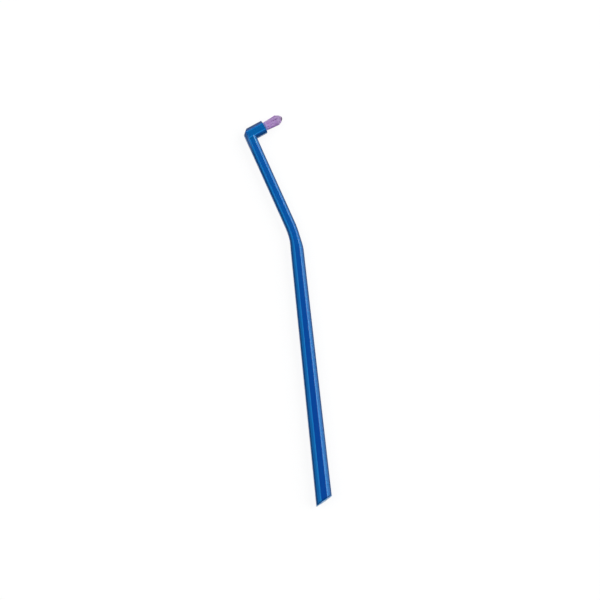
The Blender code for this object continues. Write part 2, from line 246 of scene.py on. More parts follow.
class StageSettings(bpy.types.PropertyGroup):
    """The floor, the lights and the camera."""

    pixel_size: length("Pixel size", "Width of one image pixel at the brush", 0.000378)
    turn: angle("Turn", "Lean of the grip from the image's vertical", 6.06)
    side_tilt: angle("Side tilt", "How far the camera stands to the left", 3.5)
    butt_tilt: angle("Butt tilt", "How far the camera stands towards the butt", 9.0)
    lens: FloatProperty(
        name="Lens", description="Focal length in millimetres", default=400.0, min=1.0, unit="CAMERA"
    )
    floor_side: length("Floor side", "Side of the square floor", 8.0)
    floor_white: share("Floor white", "How much light the floor throws back at the brush", 0.80)
    floor_shade: share("Floor shade", "The floor's own shading as it is seen, with the shadow", 0.13)
    floor_glow: share("Floor glow", "White that is added to the floor as it is seen", 0.885)
    mirror_glow: share("Mirrored glow", "White that is added to it in a gloss or a clear piece", 0.06)
    softbox_distance: length("Softbox distance", "From the brush to each softbox", 1.4)
    softbox_width: length("Softbox width", "Width of each softbox", 2.2)
    softbox_height: length("Softbox height", "Height of each softbox", 1.5)
    key_light: FloatProperty(
        name="Right light", description="Power of the right softbox in watts", default=25.0, min=0.0
    )
    fill_light: FloatProperty(
        name="Left light", description="Power of the left softbox in watts", default=18.0, min=0.0
    )
    horizon: colour("Horizon", "Light of the surroundings at the horizon", (0.12, 0.125, 0.14))
    overhead: colour("Overhead", "Light of the surroundings overhead", (0.07, 0.074, 0.085))


def mix(first, second, amount):
    return first + (second - first) * amount


def clamp(amount):
    return min(max(amount, 0.0), 1.0)


def ease(amount):
    """From 0 to 1 with a level start and end."""
    return amount * amount * (3.0 - 2.0 * amount)


def eased_share(value, start, end):
    """How far a value has come from start to end, eased and held beyond them."""
    return ease(clamp((value - start) / (end - start)))


def direction(lean):
    """The way a bar runs in the level plane when it leans this far from +Y towards -X."""
    return Vector((-math.sin(lean), math.cos(lean), 0.0))


def sideways(lean):
    """Square to that way, in the level plane."""
    return Vector((math.cos(lean), math.sin(lean), 0.0))


def head_lean(handle):
    return handle.bend_angle - handle.head_angle


def anchor_top(tuft):
    """Height of the anchor's upper edge, measured from the head's face."""
    return -tuft.hole_depth + tuft.clearance + tuft.fold_under + tuft.anchor_height


def anchor_bottom(tuft):
    return anchor_top(tuft) - tuft.anchor_height


def head_place(handle, tuft):
    """Frame of the head's face, found from the anchor: +Z out of it along the tuft, and +X up."""
    along = direction(head_lean(handle))
    low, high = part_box("anchor_strip")
    middle = (low + high) / 2
    face = middle - along * (anchor_top(tuft) - tuft.anchor_height / 2)
    axes = Matrix((UP, along.cross(UP), along)).transposed().to_4x4()
    return Matrix.Translation(face) @ axes


def butt_normal(handle):
    """The way the slanted butt faces."""
    return -direction(handle.butt_slant)


def bend_corner(handle, tuft):
    """Where the middle lines of grip and neck cross."""
    face = head_place(handle, tuft).translation
    elbow = face - direction(head_lean(handle)) * handle.head_length
    return elbow - direction(handle.bend_angle) * handle.neck_length


class Section:
    """One octagonal section of the handle: its middle, the way the bar runs there, and its size."""

    def __init__(self, centre, lean, width, depth, chamfer, slide=0.0):
        self.centre = centre
        self.along = direction(lean)
        self.across = sideways(lean)
        self.width = width
        self.depth = depth
        self.chamfer = chamfer
        self.slide = slide

    def corners(self):
        """Eight corners in order. For a mitre each is slid along the bar by its place across."""
        side = self.width / 2
        top = self.depth / 2
        side_flat = side - self.width * self.chamfer
        top_flat = top - self.depth * self.chamfer
        places = [(side, top_flat), (side_flat, top), (-side_flat, top), (-side, top_flat)]
        places += [(-x, -z) for x, z in places]
        return [
            self.centre + self.across * x + self.along * (x * self.slide) + UP * z
            for x, z in places
        ]

    def slant(self):
        """The way across the bar and along the mitre."""
        return self.across + self.along * self.slide

    def rises(self):
        """How far each corner stands past the edge of the upright side facet, up or down."""
        cut = self.depth * self.chamfer
        return [0.0, cut, cut, 0.0, 0.0, cut, cut, 0.0]


def bend_tangent(size):
    """Distance from the bend's corner to either end of its arc."""
    return size.bend_radius * math.tan(size.bend_angle / 2)


def grip_section(size):
    """The bar's far end, past the butt, on the straight taper that the bend and the butt give."""
    distance = size.grip_length + size.butt_width * math.tan(size.butt_slant) + OVERRUN
    amount = (distance - bend_tangent(size)) / (size.grip_length - bend_tangent(size))
    width = mix(size.bend_width, size.butt_width, amount)
    return Section(Vector((0.0, -distance, 0.0)), 0.0, width, width, size.grip_chamfer)


def bend_sections(size):
    """The arc from grip to neck. The bar eases from one width to the other over its first part."""
    hub = Vector((-size.bend_radius, -bend_tangent(size), 0.0))
    sections = []
    for step in range(BEND_STEPS + 1):
        lean = size.bend_angle * step / BEND_STEPS
        amount = eased_share(step / BEND_STEPS, 0.0, size.bend_taper)
        width = mix(size.bend_width, size.neck_width, amount)
        chamfer = mix(size.grip_chamfer, size.neck_chamfer, amount)
        centre = hub + sideways(lean) * size.bend_radius
        sections.append(Section(centre, lean, width, width, chamfer))
    return sections


def mitre_slope(size):
    """How far the mitre runs along the neck per length across it, so that unlike widths meet."""
    inside = math.pi - size.head_angle
    return (size.head_width / size.neck_width + math.cos(inside)) / math.sin(inside)


def flare_sections(size):
    """The neck's last stretch, deepening to the head's depth just short of the elbow's inner corner."""
    end = size.neck_length - mitre_slope(size) * size.neck_width / 2 - size.elbow_land
    sections = []
    for step in range(FLARE_STEPS + 1):
        amount = step / FLARE_STEPS
        distance = end - size.flare_length * (1.0 - amount)
        depth = mix(size.neck_width, size.head_width, ease(amount))
        centre = direction(size.bend_angle) * distance
        sections.append(Section(centre, size.bend_angle, size.neck_width, depth, size.neck_chamfer))
    return sections


def elbow_centre(size):
    """Where the middle lines of neck and head cross, from the bend's corner."""
    return direction(size.bend_angle) * size.neck_length


def mitre_section(size):
    """The slanted section between neck and head."""
    slide = -mitre_slope(size)
    width, depth = size.neck_width, size.head_width
    return Section(elbow_centre(size), size.bend_angle, width, depth, size.neck_chamfer, slide)


def elbow_corner(size, side):
    """From the bend's corner to the elbow's inner one, or to its outer one before the cut."""
    mitre = mitre_section(size)
    return mitre.centre + mitre.slant() * (side * size.neck_width / 2)


def mitre_normal(size):
    """Out of the neck into the head, square to the mitre."""
    return UP.cross(mitre_section(size).slant()).normalized()


def head_section(size, distance):
    """The head's section at a distance from the elbow, square to the tuft."""
    lean = head_lean(size)
    centre = elbow_centre(size) + direction(lean) * distance
    return Section(centre, lean, size.head_width, size.head_width, size.neck_chamfer)


class HandleMarks:
    """Places on the handle that its painted light and shade follow. A plane is a point on it and the way
    it faces.
    """

    def __init__(self, handle, tuft):
        corner = bend_corner(handle, tuft)
        face = head_place(handle, tuft).translation
        outwards = direction(head_lean(handle))
        elbow = corner + elbow_centre(handle)
        across = head_section(handle, 0.0).across
        ridge_reach = handle.head_width * (0.5 - handle.neck_chamfer)
        self.butt = (corner - direction(0.0) * handle.grip_length, butt_normal(handle))
        self.face = (face, outwards)
        self.head = face - outwards * (handle.head_length / 2)
        self.mitre = (elbow, mitre_normal(handle))
        self.ledge = (elbow + across * ridge_reach, across)
        self.inner_elbow = corner + elbow_corner(handle, INNER)
        self.outer_elbow = corner + elbow_corner(handle, OUTER)


def loft(sections):
    """Skins a row of sections and caps both ends. The facet map holds in metres how far each corner
    stands past the side facet, and how far the level facet does there."""
    bm = bmesh.new()
    facet = bm.loops.layers.uv.new(FACET_MAP)
    rings = [[bm.verts.new(corner) for corner in section.corners()] for section in sections]
    maps = [[(rise, max(section.rises())) for rise in section.rises()] for section in sections]
    for near, far, near_map, far_map in zip(rings, rings[1:], maps, maps[1:]):
        for i in range(len(near)):
            j = (i + 1) % len(near)
            face = bm.faces.new((near[i], near[j], far[j], far[i]))
            places = (near_map[i], near_map[j], far_map[j], far_map[i])
            for loop, place in zip(face.loops, places):
                loop[facet].uv = place
    bm.faces.new(rings[0])
    bm.faces.new(rings[-1])
    bmesh.ops.recalc_face_normals(bm, faces=bm.faces)
    return bm


def cut_off(bm, point, outwards):
    """Takes off what lies beyond a plane and gives back the flat face left there."""
    everything = bm.verts[:] + bm.edges[:] + bm.faces[:]
    cut = bmesh.ops.bisect_plane(
        bm, geom=everything, plane_co=point, plane_no=outwards, clear_outer=True
    )
    rim = [piece for piece in cut["geom_cut"] if isinstance(piece, bmesh.types.BMEdge)]
    return bmesh.ops.contextual_create(bm, geom=rim)["faces"][0]


def cut_ends(bm, size):
    """Cuts the elbow's outer corner, the butt and the head's face, and gives back the end faces."""
    mitre = mitre_section(size)
    face = head_section(size, size.head_length)
    corner = elbow_corner(size, OUTER)
    on_neck = corner - mitre.along * size.elbow_chamfer
    on_head = corner + face.along * size.elbow_chamfer
    elbow = cut_off(bm, on_neck, UP.cross(on_head - on_neck).normalized())
    butt = cut_off(bm, Vector((0.0, -size.grip_length, 0.0)), butt_normal(size))
    end = cut_off(bm, face.centre, face.along)
    facet = bm.loops.layers.uv.active
    for cut_face, cut in ((elbow, size.head_width * size.neck_chamfer), (butt, 0.0), (end, 0.0)):
        for loop in cut_face.loops:
            loop[facet].uv = (0.0, cut)
    return [butt, end]


def weigh_edges(bm, size, end_faces):
    """Marks the ridges for the whole rounding and the rims of the end faces for their share of it."""
    weight = bm.edges.layers.float.new("bevel_weight_edge")
    for edge in bm.edges:
        if edge.calc_face_angle() > RIDGE_ANGLE:
            edge[weight] = 1.0
    for face in end_faces:
        for edge in face.edges:
            edge[weight] = size.rim_rounding / size.ridge_rounding


def add_object(name, data):
    """Puts a mesh, a lamp or a camera in the scene."""
    obj = bpy.data.objects.new(name, data)
    bpy.context.scene.collection.objects.link(obj)
    return obj


def new_object(name, bm):
    mesh = bpy.data.meshes.new(name)
    bm.to_mesh(mesh)
    bm.free()
    return add_object(name, mesh)


def hole_cutter(tuft):
    """The tuft's hole, turned about its own axis, with a narrow countersink at its mouth."""
    radius = tuft.hole_diameter / 2
    mouth = radius + tuft.countersink + OVERRUN
    profile = [
        (0.0, OVERRUN),
        (mouth, OVERRUN),
        (radius, -tuft.countersink),
        (radius, -tuft.hole_depth),
        (0.0, -tuft.hole_depth),
    ]
    bm = bmesh.new()
    points = [bm.verts.new((reach, 0.0, height)) for reach, height in profile]
    edges = [bm.edges.new(pair) for pair in zip(points, points[1:])]
    bmesh.ops.spin(
        bm,
        geom=points + edges,
        axis=(0.0, 0.0, 1.0),
        angle=2 * math.pi,
        steps=HOLE_SEGMENTS,
        use_merge=True,
    )
    bmesh.ops.remove_doubles(bm, verts=bm.verts, dist=WELD)
    bmesh.ops.recalc_face_normals(bm, faces=bm.faces)
    return new_object("hole_cutter", bm)


def slit_cutter(tuft):
    """The two grooves that the anchor's ends score in the wall on their way down from the mouth."""
    bottom = anchor_bottom(tuft) - tuft.clearance
    reach = tuft.hole_diameter + 2 * (tuft.anchor_bite + tuft.clearance)
    size = (reach, tuft.anchor_thickness + 2 * tuft.clearance, OVERRUN - bottom)
    bm = bmesh.new()
    bmesh.ops.create_cube(bm, size=1.0)
    bmesh.ops.scale(bm, verts=bm.verts, vec=size)
    bmesh.ops.translate(bm, verts=bm.verts, vec=(0.0, 0.0, (bottom + OVERRUN) / 2))
    return new_object("slit_cutter", bm)


def cut_with(obj, cutter):
    modifier = obj.modifiers.new(cutter.name, "BOOLEAN")
    modifier.operation = "DIFFERENCE"
    modifier.solver = "EXACT"
    modifier.object = cutter


def settle_modifiers(obj):
    """Makes the evaluated mesh the object's own."""
    bpy.context.view_layer.update()
    graph = bpy.context.evaluated_depsgraph_get()
    mesh = bpy.data.meshes.new_from_object(obj.evaluated_get(graph))
    obj.modifiers.clear()
    obj.data = mesh
    mesh.name = obj.name


def shade_polished(obj):
    """Smooth roundings between flat facets."""
    obj.data.shade_smooth()
    obj.data.set_sharp_from_angle(angle=RIDGE_ANGLE)
    normals = obj.modifiers.new("flat facets", "WEIGHTED_NORMAL")
    normals.keep_sharp = True
    normals.weight = FLAT_WEIGHT


def build_handle(handle, tuft):
    """The moulding: one octagon along grip, bend, neck and head, with its ends, hole and slits cut."""
    sections = [grip_section(handle)]
    sections += bend_sections(handle)
    sections += flare_sections(handle)
    sections += [mitre_section(handle), head_section(handle, handle.head_length + OVERRUN)]
    bm = loft(sections)
    weigh_edges(bm, handle, cut_ends(bm, handle))
    obj = new_object("moulded_handle", bm)
    obj.data.transform(Matrix.Translation(bend_corner(handle, tuft)))
    rounding = obj.modifiers.new("rounded ridges and rims", "BEVEL")
    rounding.width = handle.ridge_rounding
    rounding.segments = ROUNDING_SEGMENTS
    rounding.limit_method = "WEIGHT"
    cutters = [hole_cutter(tuft), slit_cutter(tuft)]
    for cutter in cutters:
        cutter.matrix_world = head_place(handle, tuft)
        cut_with(obj, cutter)
    settle_modifiers(obj)
    for cutter in cutters:
        bpy.data.objects.remove(cutter, do_unlink=True)
    shade_polished(obj)
    return obj


def bundle_places(count):
    """Places of the filaments' first ends over half of the bundle, as shares of its radius."""
    places = []
    for i in range(2 * count + 1):
        reach = math.sqrt((i + 0.5) / (2 * count + 1))
        turn = i * GOLDEN_ANGLE
        place = Vector((math.cos(turn), math.sin(turn))) * reach
        if place.y > 0.0:
            places.append(place)
    return places[:count]


def trim_height(tuft, place):
    """Height above the face where an end is cut: the tip near the middle, the shoulder at the rim."""
    apex = Vector((0.0, tuft.apex)) * (1.0 - place.length_squared)
    amount = min((place - apex).length, 1.0)
    return mix(tuft.tip_height, tuft.shoulder_height, amount**tuft.trim_power)


def packed_reach(tuft):
    """How far from the hole's axis the outermost filament stands."""
    return tuft.hole_diameter / 2 - tuft.clearance - tuft.thickness / 2


def beside_anchor(tuft, place):
    """Where a filament passes the anchor: its place, squeezed to its own side of the strip."""
    reach = packed_reach(tuft)
    gap = (tuft.anchor_thickness + tuft.clearance + tuft.thickness) / 2
    x = place.x * math.sqrt(reach * reach - gap * gap)
    outermost = math.sqrt(reach * reach - x * x)
    depth = abs(place.y) / math.sqrt(1.0 - place.x * place.x)
    y = gap + depth * max(outermost - gap, 0.0)
    return Vector((x, math.copysign(y, place.y)))


def free_end(tuft, place, drawn):
    """Points of one half of a filament, from beside the anchor up to its cut end, and their radii."""
    root_reach = packed_reach(tuft)
    tip_reach = tuft.shoulder_width / 2 - tuft.thickness / 2
    radius = tuft.thickness / 2
    squeezed = beside_anchor(tuft, place)
    points = [squeezed.to_3d() + UP * anchor_bottom(tuft)]
    for step in range(HIDDEN_RINGS):
        amount = step / HIDDEN_RINGS
        flat = mix(squeezed, place * root_reach, ease(amount))
        points.append(flat.to_3d() + UP * (anchor_top(tuft) * (1.0 - amount)))
    height = trim_height(tuft, place) + drawn.gauss(0.0, tuft.stray)
    stray = Vector((drawn.gauss(0.0, tuft.stray), drawn.gauss(0.0, tuft.stray)))
    shaft = height - radius
    for step in range(SHOWN_RINGS + 1):
        amount = step / SHOWN_RINGS
        spread = mix(root_reach, tip_reach, shaft * amount / tuft.shoulder_height)
        flat = place * spread + stray * (amount * amount)
        points.append(flat.to_3d() + UP * (shaft * amount))
    radii = [radius] * len(points)
    last = points[-1]
    lean = (last - points[-2]).normalized()
    for ahead, wide in CUT_END_SHARES:
        points.append(last + lean * (radius * ahead))
        radii.append(radius * wide)
    return points, radii


def fold_points(tuft, start, end):
    """The turn under the anchor, from one side of the strip to the other."""
    bottom = anchor_bottom(tuft)
    outermost = tuft.hole_diameter / 2 - tuft.clearance
    reach = (abs(start.y) + abs(end.y)) / 2
    depth = tuft.thickness / 2 + reach / outermost * (tuft.fold_under - tuft.thickness)
    points = []
    for step in range(1, FOLD_RINGS + 1):
        turn = math.pi * step / (FOLD_RINGS + 1)
        across = mix(start.y, end.y, (1.0 - math.cos(turn)) / 2)
        beside = mix(start.x, end.x, step / (FOLD_RINGS + 1))
        points.append(Vector((beside, across, bottom - depth * math.sin(turn))))
    return points


def skin_tube(points, radii, verts, faces):
    """Adds a tube round the points, with its rings squared up to the anchor's direction."""
    first = len(verts)
    for i, point in enumerate(points):
        ahead = points[min(i + 1, len(points) - 1)] - points[max(i - 1, 0)]
        ahead.normalize()
        side = (Vector((1.0, 0.0, 0.0)) - ahead * ahead.x).normalized()
        other = ahead.cross(side)
        for k in range(FILAMENT_SIDES):
            turn = 2 * math.pi * k / FILAMENT_SIDES
            verts.append(point + (side * math.cos(turn) + other * math.sin(turn)) * radii[i])
    for i in range(len(points) - 1):
        ring = first + i * FILAMENT_SIDES
        for k in range(FILAMENT_SIDES):
            j = (k + 1) % FILAMENT_SIDES
            faces.append((ring + k, ring + j, ring + j + FILAMENT_SIDES, ring + k + FILAMENT_SIDES))
    last = len(verts) - FILAMENT_SIDES
    faces.append(tuple(range(first + FILAMENT_SIDES - 1, first - 1, -1)))
    faces.append(tuple(range(last, last + FILAMENT_SIDES)))


def streaks(place, scale, layer, weight):
    return weight * noise.noise(Vector((place.x * scale, place.y * scale, layer)))


def bundle_tone(place):
    """How dark a filament is: random streaks and painted shade on one flank, from 0 to 1, and painted
    shade at the two edges beyond that.
    """
    edge = eased_share(abs(place.y), EDGE_START, 1.0)
    tone = MIDDLE_TONE + streaks(place, *BROAD_STREAKS) + streaks(place, *FINE_STREAKS)
    tone += FLANK_SHADE_TONE * place.y + EDGE_SHADE_TONE * edge
    return clamp(tone) + EDGE_EXTRA_SHADE_TONE * edge


def gap_shade_streak(tuft, place, height):
    """How much a filament belongs to the short dark streak of painted shade on the upper face, below the
    shoulder.
    """
    if place.x <= STREAK_LOWEST:
        return 0.0
    beside = (place.y - STREAK_MIDDLE) / STREAK_WIDTH
    amount = eased_share(height / tuft.shoulder_height, STREAK_START, STREAK_FULL)
    return STREAK_TONE * amount * math.exp(-beside * beside)


def build_tuft(handle, tuft):
    """Filaments folded over the anchor, with both ends of each standing in the trimmed bundle."""
    drawn = random.Random(SEED)
    verts, faces, tones, heights = [], [], [], []
    for place in bundle_places(tuft.filaments):
        opposite = Vector((place.x, -place.y))
        near, near_radii = free_end(tuft, place, drawn)
        far, far_radii = free_end(tuft, opposite, drawn)
        fold = fold_points(tuft, near[0], far[0])
        points = near[::-1] + fold + far
        radii = near_radii[::-1] + [tuft.thickness / 2] * len(fold) + far_radii
        before = len(verts)
        skin_tube(points, radii, verts, faces)
        tone = bundle_tone(place)
        other_tone = bundle_tone(opposite)
        jitter = drawn.uniform(-TONE_JITTER, TONE_JITTER)
        for vert in verts[before:]:
            side, base = (place, tone) if vert.y > 0.0 else (opposite, other_tone)
            tones.append(base + jitter + gap_shade_streak(tuft, side, vert.z))
        for i, point in enumerate(points):
            top = near[-1].z if i < len(near) else far[-1].z
            heights += [top - point.z] * FILAMENT_SIDES
    mesh = bpy.data.meshes.new("filament_tuft")
    mesh.from_pydata(verts, [], faces)
    for name, values in (("tone", tones), ("below_tip", heights)):
        attribute = mesh.attributes.new(name, "FLOAT", "POINT")
        attribute.data.foreach_set("value", values)
    mesh.transform(head_place(handle, tuft))
    mesh.shade_smooth()
    return add_object("filament_tuft", mesh)


class Nodes:
    """Shorthand for wiring the nodes of a material or a world."""

    def __init__(self, owner):
        owner.use_nodes = True
        self.tree = owner.node_tree
        self.tree.nodes.clear()

    def put(self, socket, value):
        """Links an output to a socket, and sets any other value on it."""
        if isinstance(value, bpy.types.NodeSocket):
            self.tree.links.new(value, socket)
        else:
            socket.default_value = value

    def add(self, kind, **values):
        """Adds a node. Each value goes to the input of its name, or else to the node's own setting."""
        node = self.tree.nodes.new(kind)
        for name, value in values.items():
            key = name.replace("_", " ")
            if key in node.inputs:
                self.put(node.inputs[key], value)
            else:
                setattr(node, name, value)
        return node

    def reckon(self, kind, operation, values):
        """Adds a maths node of some kind, with its values on its inputs in turn."""
        node = self.add(kind, operation=operation)
        for socket, value in zip(node.inputs, values):
            self.put(socket, value)
        return node

    def math(self, operation, *values, clamp=False):
        node = self.reckon("ShaderNodeMath", operation, values)
        node.use_clamp = clamp
        return node.outputs["Value"]

    def vector_math(self, operation, *values):
        return self.reckon("ShaderNodeVectorMath", operation, values).outputs["Value"]

    def product(self, first, *others):
        for other in others:
            first = self.math("MULTIPLY", first, other)
        return first

    def larger(self, first, second):
        return self.math("MAXIMUM", first, second)

    def blend(self, amount, first, second):
        """Mixes two colours, each an output or three values."""
        node = self.add("ShaderNodeMix", data_type="RGBA")
        places = {"Factor_Float": amount, "A_Color": rgba(first), "B_Color": rgba(second)}
        for socket in node.inputs:
            if socket.identifier in places:
                self.put(socket, places[socket.identifier])
        return next(socket for socket in node.outputs if socket.identifier == "Result_Color")

    def ramp(self, value, start, end, low=0.0, high=1.0):
        """Runs from low to high as the value goes from start to end, eased and held beyond them."""
        node = self.add(
            "ShaderNodeMapRange",
            interpolation_type="SMOOTHSTEP",
            Value=value,
            From_Min=start,
            From_Max=end,
            To_Min=low,
            To_Max=high,
        )
        return node.outputs["Result"]

    def fade(self, value, start, end, high=1.0):
        """Runs from high down to 0 as the value goes from start to end."""
        return self.ramp(value, start, end, high, 0.0)

    def band(self, value, setting_in, fading_out):
        """Rises to 1 over one stretch of the value and falls back to 0 over a later one."""
        return self.product(self.ramp(value, *setting_in), self.fade(value, *fading_out))

    def place(self):
        """The object's own coordinates in metres."""
        return self.add("ShaderNodeTexCoord").outputs["Object"]

    def stretched(self, scale):
        """The same coordinates, scaled unlike along each axis."""
        return self.add("ShaderNodeMapping", Vector=self.place(), Scale=scale).outputs["Vector"]

    def axis(self, vector, name):
        """One coordinate of a vector."""
        return self.add("ShaderNodeSeparateXYZ", Vector=vector).outputs[name]

    def noise(self, vector, scale=1.0, detail=2.0, rough=0.5):
        node = self.add(
            "ShaderNodeTexNoise", Vector=vector, Scale=scale, Detail=detail, Roughness=rough
        )
        return node.outputs["Fac"]

    def plane_depth(self, place, point, outwards):
        """How deep a place lies behind a plane."""
        along = self.vector_math("DOT_PRODUCT", place, outwards)
        return self.math("SUBTRACT", point.dot(outwards), along)

    def nearness(self, place, point, near, far):
        """From 1 within the near distance of a point to 0 beyond the far one."""
        return self.fade(self.vector_math("DISTANCE", place, point), near, far)


def rgba(colour_values):
    """Three values with the fourth that a socket takes. An output stays as it is."""
    if isinstance(colour_values, bpy.types.NodeSocket):
        return colour_values
    return (*colour_values, 1.0)


# Where the plastic's painted light and shade lie, by the slope of the surface: the upright share of its
# normal, 0 on a side facet and 1 on a level one. Of two stretches, a mark sets in over one and fades
# over the other
SLANT_SLOPES = ((0.25, 0.55), (0.93, 0.996))
INNER_RIDGE_SLOPES = ((0.74, 0.82), (0.965, 0.995))
OUTER_RIDGE_SLOPES = ((0.0, 0.20), (0.35, 0.60))
TOP_SLOPES = (0.97, 0.995)
END_SLOPES = (0.2, 0.5)

# Shares of a slanted facet, from its outer ridge inwards, over which its painted light comes up
LIT_SHARES = (0.58, 0.84)
HEAD_LIT_SHARES = (0.10, 0.90)

# The facet map's second value, how far the level facet stands past the side one: from the neck's to
# the grip's, and from a cut end's, which is none, to the bar's
SLIM_CUTS = (0.0012, 0.0017)
END_CUTS = (0.0001, 0.0005)

# Distances over which the painted light and shade fade from the head's middle, the elbow's two corners
# and the mitre
HEAD_REACH = (0.0048, 0.0068)
ELBOW_REACH = (0.0026, 0.0052)
GLINT_REACH = (0.0028, 0.0039)
MITRE_REACH = (-0.0001, 0.0002)

# The head's inner ridge carried on over the neck: a painted highlight line, and painted shade beside it
LEDGE_HIGHLIGHT = (0.0001, 0.0003)
LEDGE_HIGHLIGHT_STRENGTH = 0.8
LEDGE_SHADE = ((-0.0011, -0.0006), (-0.0004, -0.0001))
LEDGE_SHADE_STRENGTH = 0.4

# The painted shade line along the outer ridges and the painted highlight within it, by the facet map's
# first value, and the heights from the parting line over which the shade line sets in
RIM_RISES = (0.00034, 0.00074)
RIM_HEIGHTS = (0.0003, 0.0009)
RIM_STRENGTH = 0.94
LIGHT_RISES = (0.0003, 0.0004)

# How deep the painted reflection on the cut edge and the painted shade line next to it reach behind the
# butt and behind the head's face, and the share of each that has its full strength
BUTT_LINES = (0.00026, 0.00072)
FACE_LINES = (0.00004, 0.00028)
FULL_SHARE = 0.6

# How far the borders of the painted light and shade wander, as a share of a slanted facet, in a slow
# swirl
WANDER = 0.12
SWIRL_STRETCH = (1.0, 0.25, 1.0)
SWIRL_SPREAD = (0.2, 0.8)

# Finishes. A stretch is noise cells a metre along each axis, a spread is the stretch of a noise's values
# over which a mark comes up, and shares are those of the piece's own roughness
NOISE_MIDDLE = 0.5
NOISE_SPREAD = (0.3, 0.7)
SCRATCH_STRETCH = (9000.0, 260.0, 9000.0)
SCRATCH_SPREAD = (0.66, 0.80)
SCRATCH_ROUGHNESS = 0.10
SCRATCH_DEPTH = 0.5
HAZE_SHARES = (0.75, 1.35)
PEEL_HEIGHT = 0.35
SEAM_REACH = (0.00002, 0.00006)
SEAM_HEIGHT = 4.0
DRAWN_SHARES = (0.8, 1.25)
ROLLED_STRETCH = (14000.0, 14000.0, 900.0)
ROLLED_SHARES = (0.7, 1.4)
STAIN_SPREAD = (0.45, 0.75)

# Colours along a filament: how uneven its tone is, the tones that turn to painted shade, the heights
# above the face over which the handle's blue is painted in as reflection and depths below the cut end
# over which its colour changes, and the spot of painted shade beside the tip
TONE_GRAIN = 0.30
DARK_TONES = (1.0, 2.0)
ROOT_HEIGHTS = (0.0002, 0.0013)
CUT_DEPTHS = (0.00004, 0.00050)
ROOT_AND_CUT_STRENGTH = 0.9
SPOT_BELOW_TIP = 0.0005
SPOT_ASIDE = 0.0004
SPOT_REACH = (0.0003, 0.0011)


class PlasticTint:
    """The handle's blue, painted lit and shaded facet by facet, with painted highlights along its inner
    ridges and a painted shade outline.
    """

    def __init__(self, n, look, marks):
        self.n = n
        self.look = look
        self.marks = marks
        self.place = n.place()
        facet = n.add("ShaderNodeUVMap", uv_map=FACET_MAP).outputs["UV"]
        self.rise = n.axis(facet, "X")
        self.cut = n.axis(facet, "Y")
        normal = n.add("ShaderNodeNewGeometry").outputs["Normal"]
        self.slope = n.math("ABSOLUTE", n.axis(normal, "Z"))
        self.past_mitre = n.fade(n.plane_depth(self.place, *marks.mitre), *MITRE_REACH)
        swirl = n.noise(n.stretched(SWIRL_STRETCH), scale=260.0, detail=3.0)
        self.wander = n.ramp(swirl, *SWIRL_SPREAD, -WANDER, WANDER)

    def wired(self):
        """The output that carries the finished colour."""
        slanted = self.n.band(self.slope, *SLANT_SLOPES)
        tint = self.n.blend(slanted, self.level_facets(), self.slanted_facets())
        return self.with_outline(self.with_inner_light(tint))

    def level_facets(self):
        """Level and upright facets in painted shade: deepest along the grip, painted lighter along the
        neck and on the head.
        """
        n = self.n
        slim = n.math("ADD", n.fade(self.cut, *SLIM_CUTS), self.wander, clamp=True)
        tint = n.blend(slim, self.look.shaded_flat_colour, self.look.slim_lit_colour)
        at_head = n.nearness(self.place, self.marks.head, *HEAD_REACH)
        return n.blend(at_head, tint, self.look.head_lit_colour)

    def slanted_facets(self):
        """Slanted facets: painted light on their inner half, and painted shade towards the outside on
        elbow and head.
        """
        n = self.n
        inner = n.math("ADD", n.math("DIVIDE", self.rise, self.cut), self.wander)
        bar = n.blend(n.ramp(inner, *LIT_SHARES), self.look.outer_lit_colour, self.look.lit_colour)
        head = n.blend(n.ramp(inner, *HEAD_LIT_SHARES), self.look.painted_shade_colour, self.look.slim_lit_colour)
        at_elbow = n.nearness(self.place, self.marks.outer_elbow, *ELBOW_REACH)
        return n.blend(n.larger(self.past_mitre, at_elbow), bar, head)

    def with_inner_light(self, tint):
        """Painted highlight in the head's inner ridges, its line carried on over the neck with painted
        shade beside it, and the elbow's painted glint.
        """
        n = self.n
        ridge = n.band(self.slope, *INNER_RIDGE_SLOPES)
        tint = n.blend(n.product(ridge, self.past_mitre), tint, self.look.lit_colour)
        on_neck = n.math("SUBTRACT", 1.0, self.past_mitre)
        on_top = n.product(on_neck, n.ramp(self.slope, *TOP_SLOPES))
        across = n.plane_depth(self.place, *self.marks.ledge)
        shade = n.product(on_top, n.band(across, *LEDGE_SHADE), LEDGE_SHADE_STRENGTH)
        tint = n.blend(shade, tint, self.look.painted_shade_colour)
        line = n.fade(n.math("ABSOLUTE", across), *LEDGE_HIGHLIGHT, LEDGE_HIGHLIGHT_STRENGTH)
        tint = n.blend(n.product(on_top, line), tint, self.look.lit_colour)
        at_corner = n.nearness(self.place, self.marks.inner_elbow, *GLINT_REACH)
        return n.blend(n.product(ridge, at_corner, on_neck), tint, self.look.glint_colour)

    def with_outline(self, tint):
        """Painted shade as a dark line along outer ridges and cut ends, a painted highlight in it, and
        painted reflection on the paler cut faces.
        """
        n = self.n
        beside = n.ramp(from_parting_line(n, self.place), *RIM_HEIGHTS)
        rim = n.product(n.fade(self.rise, *RIM_RISES), beside)
        off_side = n.ramp(self.slope, *END_SLOPES)
        pale = n.fade(self.cut, *END_CUTS)
        for plane, (edge, reach) in ((self.marks.butt, BUTT_LINES), (self.marks.face, FACE_LINES)):
            depth = n.plane_depth(self.place, *plane)
            rim = n.larger(rim, n.product(n.fade(depth, reach * FULL_SHARE, reach), off_side))
            pale = n.larger(pale, n.fade(depth, edge * FULL_SHARE, edge))
        tint = n.blend(n.product(rim, RIM_STRENGTH), tint, self.look.painted_shade_colour)
        ridge = n.product(n.band(self.slope, *OUTER_RIDGE_SLOPES), n.fade(self.rise, *LIGHT_RISES))
        tint = n.blend(ridge, tint, self.look.edge_highlight_colour)
        return n.blend(pale, tint, self.look.end_reflection_colour)


